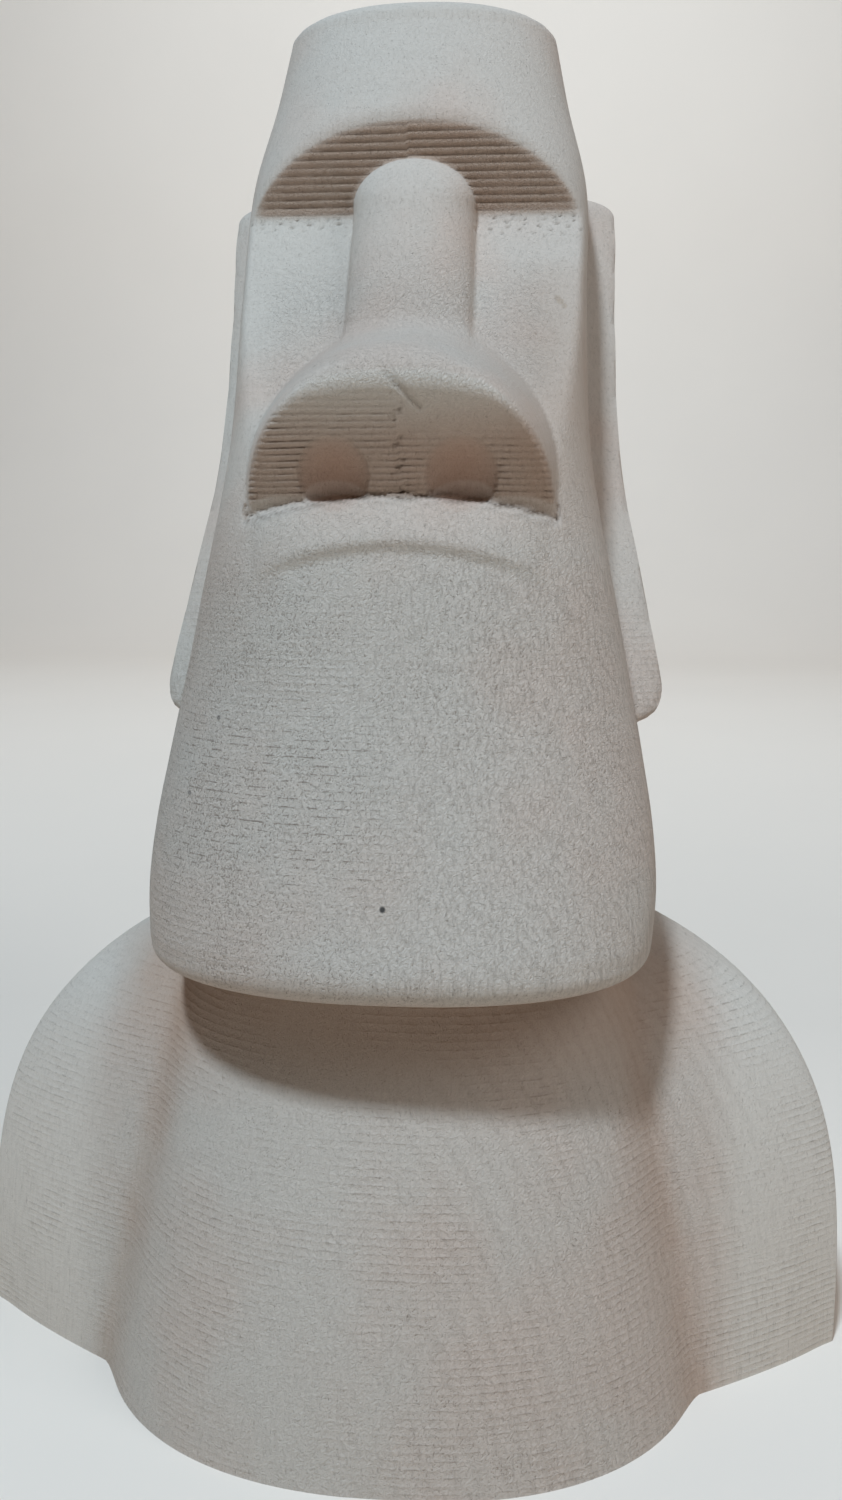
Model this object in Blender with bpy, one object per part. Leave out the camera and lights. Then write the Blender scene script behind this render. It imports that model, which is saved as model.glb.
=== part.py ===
"""Wooden moai bust, carved in one piece from a block of pale close-grained wood.

A broad torso, cut off flat below, carries a long head that leans back. The front faces -Y, the
base lies on z = 0 and the middle of the bust's box stands over the origin.

The whole skin is one loft of level rings. From the base the rings climb the torso to the crease
of the neck, run out under the chin, turn round the edge of the jaw and climb the head to the
crown. Each ring is a superellipse with a front half and a back half of their own depth. The
carving of the face and the ears is then cut into, or left standing on, that plain block.
"""

import math

import bpy
import numpy as np

MM = 0.001

# The block: the torso
HEIGHT = 190.0 * MM              # base to crown
SHOULDER_WIDTH = 125.8 * MM      # across the arms at the base
CHEST_WIDTH = 86.0 * MM          # the chest between the two arms, at the base
CHEST_REACH = 34.2 * MM          # chest in front of the arms' widest line, at the base
CHEST_FILLET = 3.0 * MM          # along the groove between the chest and each arm
BACK_REACH = 36.0 * MM           # back behind that line, at the base
ARM_LEAN = 18.0 * MM             # the arms' widest line runs back by this much up to the neck
NECK_WIDTH = 62.0 * MM
THROAT_REACH = 13.7 * MM         # throat in front of the arms' widest line
NAPE_REACH = 28.5 * MM
THROAT_HEIGHT = 58.0 * MM        # crease of the neck, in front
NECK_SIDE_HEIGHT = 60.5 * MM     # crease of the neck, at the sides
NAPE_HEIGHT = 64.0 * MM
THROAT_LIFT = 0.35 * MM          # rise of the neck's sides up to the jaw
NAPE_LIFT = 3.0 * MM

# The block: the head
CHIN_HEIGHT = 60.6 * MM          # level of the underside of the chin
CHIN_REACH = 31.0 * MM           # where the face meets that underside
CHIN_ROUNDING = 3.6 * MM
JAW_WIDTH = 67.2 * MM
JAW_ROUNDING = 2.4 * MM
JAW_SETBACK = 7.0 * MM           # widest line of the jaw in front of the arms' widest line
HEAD_BACK_REACH = 29.0 * MM      # back of the head at the jaw
NAPE_TURN = 6.9 * MM             # level at which the head starts behind, above the nape's crease
CROWN_DOME = 4.4 * MM            # height of the rounded crown

# The nose
NOSE_WIDTH = 39.6 * MM           # across the wings, where they meet the cheeks
NOSE_STAND = 18.5 * MM           # the ball of the nose before it is cut away under
NOSE_DRAFT = 16.0                # degrees that its side walls spread towards the cheeks
NOSE_WALL_FILLET = 4.0 * MM
NOSE_TIP = 14.5 * MM             # tip of the nose behind the front of the chin
UNDER_SLANT = 27.0               # degrees that the nose's underside leans in from the tip
NOSE_BOW = 1.5 * MM              # the nose's underside curves back to the wings
TIP_FILLET = 3.5 * MM
NOSE_FILLET = 1.0 * MM           # where the nose meets the cheeks
NOSTRIL_WIDTH = 9.0 * MM
NOSTRIL_SPACING = 15.8 * MM
NOSTRIL_DEPTH = 2.4 * MM
BRIDGE_WIDTH = 17.0 * MM
BRIDGE_FOOT_STAND = 5.0 * MM     # foot of the bridge in front of the eye sockets
BRIDGE_HEAD_STAND = 2.6 * MM     # top of the bridge in front of the band
BRIDGE_ROUNDING = 6.0 * MM
BRIDGE_FILLET = 9.0 * MM         # where the bridge runs into the ball

# The eyes and the brow
EYE_DEPTH = 10.0 * MM           # eye sockets behind the plain block, below the brow
BROW_SLANT = 22.0                # degrees that the band under the brow leans in
FOLD_FILLET = 1.5 * MM
BROW_FILLET = 1.6 * MM

# The lips
LIP_STAND = 1.2 * MM
LIP_WIDTH = 37.0 * MM
LIP_TOP_DROP = 3.0 * MM          # ends of the lips below their middle
LIP_TOP_FADE = 3.0 * MM
CREASE_DROP = 4.0 * MM           # ends of the crease under the lips below its middle
CREASE_UNDER = 0.6 * MM
CREASE_OVER = 1.6 * MM
NOSE_FOOT_UNDER = 0.9 * MM       # the nose ends in a step down to the lips
NOSE_FOOT_OVER = 0.5 * MM

# The ears
EAR_STAND = 5.9 * MM
EAR_WIDTH = 12.1 * MM
EAR_SETBACK = 5.9 * MM           # front of the ear behind the head's widest line
EAR_FRONT_EDGE = 2.4 * MM
EAR_BACK_EDGE = 4.6 * MM
EAR_LOBE = 6.0 * MM              # length of its rounded lower end
EAR_SHOULDER = 3.0 * MM          # length of its rounded upper end
EAR_GROOVE = 1.2 * MM
EAR_GROOVE_WIDTH = 1.4 * MM
EAR_GROOVE_PLACE = 1.8 * MM      # middle of the groove in front of the ear

# Heights on the head, as shares of its length from chin to crown
MOUTH_CREASE = 0.412
LIP_TOP = 0.465
NOSE_CENTRE = 0.482
NOSTRIL_LEVEL = 0.482
NOSE_TIP_LEVEL = 0.570
BRIDGE_FOOT = 0.655
EYE_FOOT = 0.430
BROW_FOLD = 0.763
BRIDGE_TOP = 0.814
EAR_FOOT = 0.225
EAR_TOP = 0.812

# Plain shape of the head: share of its length, then share of the jaw's width, or the distance
# behind the front of the chin as a share of the head's length
HEAD_WIDTHS = ((0.0, 0.984), (0.08, 1.012), (0.14, 0.996), (0.20, 0.960), (0.335, 0.865),
               (0.52, 0.736), (0.67, 0.716), (0.81, 0.713), (0.90, 0.635), (0.97, 0.585))
FACE_LINE = ((0.0, 0.0), (0.16, 0.066), (0.275, 0.108), (0.40, 0.142), (0.85, 0.322), (1.0, 0.396))
BACK_LINE = ((0.0, 0.0), (0.30, 0.024), (0.65, 0.092), (1.0, 0.142))
HEAD_LEAN = 0.315                # of the widest line, across for each unit up

# Squareness of the rings: 2 is an ellipse, more is boxier
FRONT_SQUARENESS = 2.3
FACE_SQUARENESS = ((0.0, 2.3), (0.30, 2.45), (0.50, 3.3), (0.68, 3.4), (0.78, 2.5), (0.86, 2.25),
                   (1.0, 2.3))
BACK_SQUARENESS = 2.2
ARM_SQUARENESS = 1.2
NOSE_SQUARENESS = 2.9
BRIDGE_SQUARENESS = 2.2
EAR_SQUARENESS = 2.2
LIP_SQUARENESS = 2.0

# How the forms run
ARM_SHARE = 0.845                # reach of the arms at the base, as a share of the chest's
ARM_SHARE_ABOVE = 0.665          # the same at the neck
THROAT_CURVE = 0.37              # share of the chest's run back that comes near its top
CLOSE_IN = 4.2                   # how the shoulders close in on the neck
CLOSE_OUT = 1.25
THROAT_HOLLOW = 3.0              # how soon the throat turns out under the chin
UNDER_FADE = 8.0                 # how steeply the cut under the nose ends beside it
NOSTRIL_BOWL = 0.6               # roundness of the nostrils' floor

# Rings and the points on them
FRONT_STEPS = 22                 # even steps from the middle of the face out to EVEN_SHARE
EVEN_SHARE = 0.90                # of the ring's half width
EDGE_STEPS = 6                   # from there to the widest line
SIDE_STEPS = 8                   # from the widest line to SIDE_TURN behind it
REAR_STEPS = 4
SIDE_TURN = math.radians(42)
EDGE_ANGLE = math.radians(50)    # edges sharper than this show as edges
TORSO_RINGS = 8
THROAT_RINGS = 3
JAW_RINGS = 4
CROWN_RINGS = 4
HEAD_RING_SHARES = ((0.04, 0), (0.38, 5), (0.455, 4), (0.64, 20), (0.745, 3), (0.865, 8), (0.956, 3))

WOOD_COLOUR = (0.44, 0.38, 0.32, 1.0)
WOOD_ROUGHNESS = 0.85


def mix(a, b, share):
    """Straight blend from a to b."""
    return a + (b - a) * share


def smooth_step(start, end, value):
    """0 before start, 1 after end, an S curve between."""
    share = np.clip((value - start) / (end - start), 0.0, 1.0)
    return share * share * (3.0 - 2.0 * share)


def soft_max(a, b, radius):
    """The larger of a and b, with the crease between them filleted over the radius."""
    share = np.clip(1.0 - np.abs(a - b) / radius, 0.0, 1.0)
    return np.maximum(a, b) + 0.25 * radius * share * share


def soft_min(a, b, radius):
    return -soft_max(-a, -b, radius)


def curve(points, share):
    """Smooth curve through the points (share, value), flat beyond its ends."""
    at, value = np.array(points, dtype=float).T
    slope = np.gradient(value, at)
    share = np.clip(share, at[0], at[-1])
    left = np.clip(np.searchsorted(at, share, side="right") - 1, 0, len(at) - 2)
    width = at[left + 1] - at[left]
    u = (share - at[left]) / width
    return (value[left] * (1 + 2 * u) * (1 - u) ** 2 + value[left + 1] * u * u * (3 - 2 * u)
            + slope[left] * width * u * (1 - u) ** 2 - slope[left + 1] * width * u * u * (1 - u))


def arch(share, squareness):
    """Height of a superellipse over its middle line: 1 in the middle, 0 at its ends."""
    return (1.0 - np.clip(np.abs(share), 0.0, 1.0) ** squareness) ** (1.0 / squareness)


def by_facing(angle, front, side, back):
    """A value that passes from the front of a ring over its sides to its back."""
    facing = np.sin(angle)
    ahead = np.clip(-facing, 0.0, 1.0) ** 2
    behind = np.clip(facing, 0.0, 1.0) ** 2
    return side + (front - side) * ahead + (back - side) * behind


def ring_angles():
    """Angles of the points on a ring: 0 at +X, a quarter turn back at the middle of the face."""
    quarter = math.pi / 2
    even = np.linspace(0.0, EVEN_SHARE, FRONT_STEPS + 1)
    ahead = -np.arccos(even ** (FRONT_SQUARENESS / 2))
    edge = np.linspace(ahead[-1], 0.0, EDGE_STEPS + 1)[1:]
    beside = np.linspace(0.0, SIDE_TURN, SIDE_STEPS + 1)[1:]
    behind = np.linspace(SIDE_TURN, quarter, REAR_STEPS + 1)[1:]
    right = np.concatenate((ahead, edge, beside, behind))
    return np.concatenate((right, math.pi - right[-2:0:-1]))


def across(angle):
    """Share of a ring's half width at each angle."""
    turn = np.cos(angle)
    return np.sign(turn) * np.abs(turn) ** (2.0 / FRONT_SQUARENESS)


def head_height(share):
    return mix(CHIN_HEIGHT, HEIGHT, share)


def head_share(z):
    return (z - CHIN_HEIGHT) / (HEIGHT - CHIN_HEIGHT)


def face_line(z):
    """Front of the plain block of the head, on its middle line."""
    return -CHIN_REACH + curve(FACE_LINE, head_share(z)) * (HEIGHT - CHIN_HEIGHT)


def widest_line(z):
    return -JAW_SETBACK + HEAD_LEAN * (z - CHIN_HEIGHT)


def back_line(z):
    return HEAD_BACK_REACH + curve(BACK_LINE, head_share(z)) * (HEIGHT - CHIN_HEIGHT)


def chin_corner():
    """Depth of the centre of the chin's rounded edge, and the angle over which it is round."""
    slope = FACE_LINE[1][1] / FACE_LINE[1][0]
    centre = face_line(CHIN_HEIGHT + CHIN_ROUNDING) + CHIN_ROUNDING * math.hypot(1.0, slope)
    return centre, math.pi / 2 + math.atan(slope)


def torso_ring(angle, share):
    """Torso: chest and arms in front, one plain curve behind, closing in on the neck."""
    z = share * by_facing(angle, THROAT_HEIGHT, NECK_SIDE_HEIGHT, NAPE_HEIGHT)
    closing = (1.0 - share ** CLOSE_IN) ** (1.0 / CLOSE_OUT)
    half_width = mix(NECK_WIDTH / 2, SHOULDER_WIDTH / 2, closing)
    x = half_width * across(angle)
    reach = mix(CHEST_REACH, THROAT_REACH, mix(share, share ** 2, THROAT_CURVE))
    chest = reach * arch(x / mix(CHEST_WIDTH / 2, NECK_WIDTH / 2, share), FRONT_SQUARENESS)
    arms = reach * mix(ARM_SHARE, ARM_SHARE_ABOVE, share) * arch(x / half_width, ARM_SQUARENESS)
    widest = ARM_LEAN * share ** 2
    hollow = widest * (1.0 - arch(x / half_width, FRONT_SQUARENESS))
    front = hollow - soft_max(chest, arms, CHEST_FILLET)
    behind = mix(BACK_REACH, NAPE_REACH, share ** 2) - widest
    back = widest + behind * arch(x / half_width, BACK_SQUARENESS)
    return x, np.where(np.sin(angle) < 0.0, front, back), z


def throat_ring(angle, share):
    """From the crease of the neck out under the chin."""
    half_width = mix(NECK_WIDTH / 2, JAW_WIDTH / 2 - JAW_ROUNDING, share)
    x = half_width * across(angle)
    widest = mix(ARM_LEAN, widest_line(CHIN_HEIGHT), share)
    centre, _ = chin_corner()
    reach = mix(THROAT_REACH, -centre, share)
    front = widest - (reach + widest) * arch(x / half_width, FRONT_SQUARENESS)
    nape = mix(NAPE_REACH, HEAD_BACK_REACH, share)
    back = widest + (nape - widest) * arch(x / half_width, BACK_SQUARENESS)
    rise = 1.0 - (1.0 - share) ** THROAT_HOLLOW
    z = by_facing(angle, mix(THROAT_HEIGHT, CHIN_HEIGHT, rise),
                  NECK_SIDE_HEIGHT + THROAT_LIFT * share, NAPE_HEIGHT + NAPE_LIFT * share)
    return x, np.where(np.sin(angle) < 0.0, front, back), z


def plain_head(angle, z):
    """Plain block of the head at the heights z, one for each point of a ring."""
    half_width = JAW_WIDTH / 2 * curve(HEAD_WIDTHS, head_share(z))
    x = half_width * across(angle)
    widest = widest_line(z)
    squareness = curve(FACE_SQUARENESS, head_share(z))
    front = widest - (widest - face_line(z)) * arch(x / half_width, squareness)
    back = widest + (back_line(z) - widest) * arch(x / half_width, BACK_SQUARENESS)
    return x, np.where(np.sin(angle) < 0.0, front, back), z


def jaw_corner(angle, share):
    """The rounded edge between the underside of the chin and the face."""
    centre, sweep = chin_corner()
    turn = share * sweep
    chin = centre - CHIN_ROUNDING * math.sin(turn)
    side_turn = share * math.pi / 2
    side = NECK_SIDE_HEIGHT + THROAT_LIFT + JAW_ROUNDING * (1.0 - math.cos(side_turn))
    nape = NAPE_HEIGHT + mix(NAPE_LIFT, NAPE_TURN, share)
    z = by_facing(angle, CHIN_HEIGHT + CHIN_ROUNDING * (1.0 - math.cos(turn)), side, nape)
    full = JAW_WIDTH / 2 * curve(HEAD_WIDTHS, head_share(z))
    half_width = full - JAW_ROUNDING * (1.0 - math.sin(side_turn))
    x = half_width * across(angle)
    widest = widest_line(z)
    front = widest - (widest - chin) * arch(x / half_width, FRONT_SQUARENESS)
    back = widest + (back_line(z) - widest) * arch(x / half_width, BACK_SQUARENESS)
    return x, np.where(np.sin(angle) < 0.0, front, back), z


def head_start(angle):
    """Heights at which the rounded edge of the jaw ends, round the ring."""
    _, _, z = jaw_corner(angle, 1.0)
    return z


def carved_face(x, plain, z):
    """Depth of the carved face behind the points (x, z), from the plain block's depth there."""
    fold = head_height(BROW_FOLD)
    foot = head_height(EYE_FOOT)
    floor = face_line(fold) + EYE_DEPTH
    eye = floor + (floor - face_line(foot)) / (fold - foot) * (z - fold)
    band = floor - math.tan(math.radians(BROW_SLANT)) * (z - fold)
    socket = soft_min(eye, band, FOLD_FILLET)
    cheek = soft_max(plain, socket, BROW_FILLET)

    tip_level = head_height(NOSE_TIP_LEVEL)
    tip = -CHIN_REACH + NOSE_TIP
    top = head_height(BRIDGE_TOP)
    low = head_height(BRIDGE_FOOT)
    rise = floor - math.tan(math.radians(BROW_SLANT)) * (top - fold) - BRIDGE_HEAD_STAND
    dip = floor + (floor - face_line(foot)) / (fold - foot) * (low - fold) - BRIDGE_FOOT_STAND
    ridge = dip + (rise - dip) / (top - low) * (z - low)
    above = np.clip(z - (top - BRIDGE_ROUNDING), 0.0, None) / BRIDGE_ROUNDING
    aside = np.hypot(x / (BRIDGE_WIDTH / 2), above)
    off_bridge = np.clip(aside - 1.0, 0.0, None) * BRIDGE_WIDTH / 2
    bridge = socket - (socket - ridge) * arch(aside, BRIDGE_SQUARENESS) + off_bridge

    half_nose = NOSE_WIDTH / 2
    up = np.clip(z - head_height(NOSE_CENTRE), 0.0, None)
    out = np.hypot(x, up) / half_nose
    off_ball = np.clip(out - 1.0, 0.0, None) * half_nose
    wall = (1.0 - out) * half_nose / math.tan(math.radians(NOSE_DRAFT))
    ball = cheek - soft_min(NOSE_STAND * arch(out, NOSE_SQUARENESS), wall, NOSE_WALL_FILLET)
    nose = soft_min(cheek, soft_min(bridge, ball, BRIDGE_FILLET), NOSE_FILLET)
    under = tip + math.tan(math.radians(UNDER_SLANT)) * (tip_level - z)
    under = under + NOSE_BOW * (x / half_nose) ** 2 - UNDER_FADE * off_ball
    nose = soft_max(nose, under, TIP_FILLET)
    for side in (-1.0, 1.0):
        away = np.hypot(x - side * NOSTRIL_SPACING / 2, z - head_height(NOSTRIL_LEVEL))
        bowl = np.clip(1.0 - (away / (NOSTRIL_WIDTH / 2)) ** 2, 0.0, None) ** NOSTRIL_BOWL
        nose = nose + NOSTRIL_DEPTH * bowl

    lip_top = head_height(LIP_TOP) - LIP_TOP_DROP * (x / half_nose) ** 2
    crease = head_height(MOUTH_CREASE) - CREASE_DROP * (x / (LIP_WIDTH / 2)) ** 2
    lips = smooth_step(crease - CREASE_UNDER, crease + CREASE_OVER, z)
    lips = lips * (1.0 - smooth_step(lip_top, lip_top + LIP_TOP_FADE, z))
    mouth = cheek - LIP_STAND * lips * arch(x / (LIP_WIDTH / 2), LIP_SQUARENESS)
    return mix(mouth, nose, smooth_step(lip_top - NOSE_FOOT_UNDER, lip_top + NOSE_FOOT_OVER, z))


def ear_shift(y, z):
    """How far the side of the head is pushed out, or in, to leave the ear standing."""
    front = widest_line(z) + EAR_SETBACK
    back = front + EAR_WIDTH
    foot = head_height(EAR_FOOT)
    top = head_height(EAR_TOP)
    along = arch(np.clip((z - foot) / EAR_LOBE, 0.0, 1.0) - 1.0, EAR_SQUARENESS)
    along = along * arch(np.clip((z - top) / EAR_SHOULDER, -1.0, 0.0) + 1.0, EAR_SQUARENESS)
    over = smooth_step(front - EAR_FRONT_EDGE / 2, front + EAR_FRONT_EDGE / 2, y)
    over = over * (1.0 - smooth_step(back - EAR_BACK_EDGE / 2, back + EAR_BACK_EDGE / 2, y))
    groove = np.exp(-((y - front + EAR_GROOVE_PLACE) / EAR_GROOVE_WIDTH) ** 2)
    return (EAR_STAND * over - EAR_GROOVE * groove) * along


def head_ring(angle, share):
    """The head with its face and ears, on a ring whose front is at that share of its length."""
    first = HEAD_RING_SHARES[0][0]
    last = head_share(HEIGHT - CROWN_DOME)
    start = head_start(angle)
    settle = (1.0 - (share - first) / (last - first)) ** 2
    z = head_height(share) + (start - head_height(first)) * settle
    x, y, z = plain_head(angle, z)
    carved = np.where(np.sin(angle) < 0.0, carved_face(x, y, z), y)
    return x + np.sign(x) * ear_shift(y, z), carved, z


def crown_ring(angle, share):
    """The rounded top, as the head's last ring drawn in and raised."""
    x, y, z = head_ring(angle, head_share(HEIGHT - CROWN_DOME))
    middle = (y.min() + y.max()) / 2
    draw = math.cos(share * math.pi / 2) ** (2.0 / FRONT_SQUARENESS)
    lift = math.sin(share * math.pi / 2) ** (2.0 / FRONT_SQUARENESS)
    return x * draw, middle + (y - middle) * draw, z + CROWN_DOME * lift


def all_rings():
    """Every ring from the base to the one below the top of the crown."""
    angle = ring_angles()
    rings = [torso_ring(angle, share) for share in np.linspace(0.0, 1.0, TORSO_RINGS)]
    rings += [throat_ring(angle, share) for share in np.linspace(0.0, 1.0, THROAT_RINGS + 1)[1:]]
    rings += [jaw_corner(angle, share) for share in np.linspace(0.0, 1.0, JAW_RINGS + 1)[1:]]
    for (start, _), (end, count) in zip(HEAD_RING_SHARES, HEAD_RING_SHARES[1:]):
        rings += [head_ring(angle, share) for share in np.linspace(start, end, count + 1)[1:]]
    rings += [crown_ring(angle, share) for share in np.linspace(0.0, 1.0, CROWN_RINGS + 1)[1:-1]]
    return np.array([np.stack(ring, axis=1) for ring in rings])


def bust_mesh():
    """Loft the rings, with a flat base and a closed crown."""
    rings = all_rings()
    count, around = rings.shape[:2]
    middle = (rings[:, :, 1].min() + rings[:, :, 1].max()) / 2
    rings[:, :, 1] -= middle
    crown = rings[-1].mean(axis=0)
    crown[0] = 0.0
    crown[2] = HEIGHT
    points = np.vstack((rings.reshape(-1, 3), crown))
    faces = [tuple(range(around - 1, -1, -1))]
    for level in range(count - 1):
        for step in range(around):
            here = level * around + step
            beside = level * around + (step + 1) % around
            faces.append((here, beside, beside + around, here + around))
    top = (count - 1) * around
    faces += [(top + step, top + (step + 1) % around, count * around) for step in range(around)]
    mesh = bpy.data.meshes.new("moai_bust")
    mesh.from_pydata(points.tolist(), [], faces)
    mesh.validate()
    return mesh


def wood():
    material = bpy.data.materials.new("raw_wood")
    material.use_nodes = True
    shader = material.node_tree.nodes["Principled BSDF"]
    shader.inputs["Base Color"].default_value = WOOD_COLOUR
    shader.inputs["Roughness"].default_value = WOOD_ROUGHNESS
    shader.inputs["Metallic"].default_value = 0.0
    return material


def build():
    for old in list(bpy.data.objects):
        bpy.data.objects.remove(old)
    collection = bpy.data.collections.new("moai bust")
    bpy.context.scene.collection.children.link(collection)
    mesh = bust_mesh()
    mesh.materials.append(wood())
    mesh.shade_smooth()
    mesh.set_sharp_from_angle(angle=EDGE_ANGLE)
    collection.objects.link(bpy.data.objects.new("moai_bust", mesh))


build()
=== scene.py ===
"""Wooden moai bust, carved in one piece on a milling machine, as bare pale wood.

The solid comes from model.glb. This file replaces it with one fine surface of the same form, on
which the steps left by the cutter lie as real grooves, and gives it a finish of raw wood.
The front faces -Y, the base lies on z = 0, and every length is in metres. Shade, and a little
light, are painted into the wood's colour under the brow, nose and chin, in grooves and nostrils.
"""

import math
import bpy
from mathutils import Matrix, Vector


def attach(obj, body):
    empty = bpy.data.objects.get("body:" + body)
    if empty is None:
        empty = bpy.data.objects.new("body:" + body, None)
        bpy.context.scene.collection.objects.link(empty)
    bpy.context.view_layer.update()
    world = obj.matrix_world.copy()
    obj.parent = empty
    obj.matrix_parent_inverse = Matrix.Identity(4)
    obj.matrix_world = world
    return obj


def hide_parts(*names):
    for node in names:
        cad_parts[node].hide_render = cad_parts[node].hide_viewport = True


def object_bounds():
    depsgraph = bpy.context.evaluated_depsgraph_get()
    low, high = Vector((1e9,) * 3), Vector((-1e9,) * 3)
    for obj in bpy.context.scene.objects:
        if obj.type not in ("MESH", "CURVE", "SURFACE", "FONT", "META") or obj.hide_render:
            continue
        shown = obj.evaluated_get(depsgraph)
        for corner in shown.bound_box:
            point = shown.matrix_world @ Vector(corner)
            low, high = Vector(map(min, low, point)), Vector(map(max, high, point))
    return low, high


bl_info = {
    "name": "Wooden moai bust",
    "version": (1, 0, 0),
    "blender": (4, 5, 0),
    "location": "3D View > Sidebar > Moai bust",
    "description": "Milled wooden moai bust with its bare wood finish, on a pale studio floor",
    "category": "Add Mesh",
}

import bpy
import numpy as np
from bpy.props import FloatProperty, FloatVectorProperty, PointerProperty
from mathutils import Matrix, Vector

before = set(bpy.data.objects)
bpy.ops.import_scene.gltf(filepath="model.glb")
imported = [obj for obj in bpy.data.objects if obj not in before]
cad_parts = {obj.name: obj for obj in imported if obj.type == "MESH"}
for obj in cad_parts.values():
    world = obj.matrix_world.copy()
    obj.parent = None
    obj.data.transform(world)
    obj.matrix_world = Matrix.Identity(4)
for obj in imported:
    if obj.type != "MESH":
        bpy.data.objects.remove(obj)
CAD_LOW, CAD_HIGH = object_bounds()

MM = 0.001

# The block: the torso
HEIGHT = 190.0 * MM              # base to crown
SHOULDER_WIDTH = 125.8 * MM      # across the arms at the base
CHEST_WIDTH = 86.0 * MM          # the chest between the two arms, at the base
CHEST_REACH = 34.2 * MM          # chest in front of the arms' widest line, at the base
CHEST_FILLET = 3.0 * MM          # along the groove between the chest and each arm
BACK_REACH = 36.0 * MM           # back behind that line, at the base
ARM_LEAN = 18.0 * MM             # the arms' widest line runs back by this much up to the neck
NECK_WIDTH = 62.0 * MM
THROAT_REACH = 13.7 * MM         # throat in front of the arms' widest line
NAPE_REACH = 28.5 * MM
THROAT_HEIGHT = 58.0 * MM        # crease of the neck, in front
NECK_SIDE_HEIGHT = 60.5 * MM     # crease of the neck, at the sides
NAPE_HEIGHT = 64.0 * MM
THROAT_LIFT = 0.35 * MM          # rise of the neck's sides up to the jaw
NAPE_LIFT = 3.0 * MM

# The block: the head
CHIN_HEIGHT = 60.6 * MM          # level of the underside of the chin
CHIN_REACH = 31.0 * MM           # where the face meets that underside
CHIN_ROUNDING = 3.6 * MM
JAW_WIDTH = 67.2 * MM
JAW_ROUNDING = 2.4 * MM
JAW_SETBACK = 7.0 * MM           # widest line of the jaw in front of the arms' widest line
HEAD_BACK_REACH = 29.0 * MM      # back of the head at the jaw
NAPE_TURN = 6.9 * MM             # level at which the head starts behind, above the nape's crease
CROWN_DOME = 4.4 * MM            # height of the rounded crown

# The nose
NOSE_WIDTH = 39.6 * MM           # across the wings, where they meet the cheeks
NOSE_STAND = 18.5 * MM           # the ball of the nose before it is cut away under
NOSE_DRAFT = 16.0                # degrees that its side walls spread towards the cheeks
NOSE_WALL_FILLET = 4.0 * MM
NOSE_TIP = 14.5 * MM             # tip of the nose behind the front of the chin
UNDER_SLANT = 27.0               # degrees that the nose's underside leans in from the tip
NOSE_BOW = 1.5 * MM              # the nose's underside curves back to the wings
TIP_FILLET = 3.5 * MM
NOSE_FILLET = 1.0 * MM           # where the nose meets the cheeks
NOSTRIL_WIDTH = 9.0 * MM
NOSTRIL_SPACING = 15.8 * MM
NOSTRIL_DEPTH = 2.4 * MM
BRIDGE_WIDTH = 17.0 * MM
BRIDGE_FOOT_STAND = 5.0 * MM     # foot of the bridge in front of the eye sockets
BRIDGE_HEAD_STAND = 2.6 * MM     # top of the bridge in front of the band
BRIDGE_ROUNDING = 6.0 * MM
BRIDGE_FILLET = 9.0 * MM         # where the bridge runs into the ball

# The eyes and the brow
EYE_DEPTH = 10.0 * MM           # eye sockets behind the plain block, below the brow
BROW_SLANT = 22.0                # degrees that the band under the brow leans in
FOLD_FILLET = 1.5 * MM
BROW_FILLET = 1.6 * MM

# The lips
LIP_STAND = 1.2 * MM
LIP_WIDTH = 37.0 * MM
LIP_TOP_DROP = 3.0 * MM          # ends of the lips below their middle
LIP_TOP_FADE = 3.0 * MM
CREASE_DROP = 4.0 * MM           # ends of the crease under the lips below its middle
CREASE_UNDER = 0.6 * MM
CREASE_OVER = 1.6 * MM
NOSE_FOOT_UNDER = 0.9 * MM       # the nose ends in a step down to the lips
NOSE_FOOT_OVER = 0.5 * MM

# The ears
EAR_STAND = 5.9 * MM
EAR_WIDTH = 12.1 * MM
EAR_SETBACK = 5.9 * MM           # front of the ear behind the head's widest line
EAR_FRONT_EDGE = 2.4 * MM
EAR_BACK_EDGE = 4.6 * MM
EAR_LOBE = 6.0 * MM              # length of its rounded lower end
EAR_SHOULDER = 3.0 * MM          # length of its rounded upper end
EAR_GROOVE = 1.2 * MM
EAR_GROOVE_WIDTH = 1.4 * MM
EAR_GROOVE_PLACE = 1.8 * MM      # middle of the groove in front of the ear

# Heights on the head, as shares of its length from chin to crown
MOUTH_CREASE = 0.412
LIP_TOP = 0.465
NOSE_CENTRE = 0.482
NOSTRIL_LEVEL = 0.482
NOSE_TIP_LEVEL = 0.570
BRIDGE_FOOT = 0.655
EYE_FOOT = 0.430
BROW_FOLD = 0.763
BRIDGE_TOP = 0.814
EAR_FOOT = 0.225
EAR_TOP = 0.812

# Plain shape of the head: share of its length, then share of the jaw's width, or the distance
# behind the front of the chin as a share of the head's length
HEAD_WIDTHS = ((0.0, 0.984), (0.08, 1.012), (0.14, 0.996), (0.20, 0.960), (0.335, 0.865),
               (0.52, 0.736), (0.67, 0.716), (0.81, 0.713), (0.90, 0.635), (0.97, 0.585))
FACE_LINE = ((0.0, 0.0), (0.16, 0.066), (0.275, 0.108), (0.40, 0.142), (0.85, 0.322), (1.0, 0.396))
BACK_LINE = ((0.0, 0.0), (0.30, 0.024), (0.65, 0.092), (1.0, 0.142))
HEAD_LEAN = 0.315                # of the widest line, across for each unit up

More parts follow.
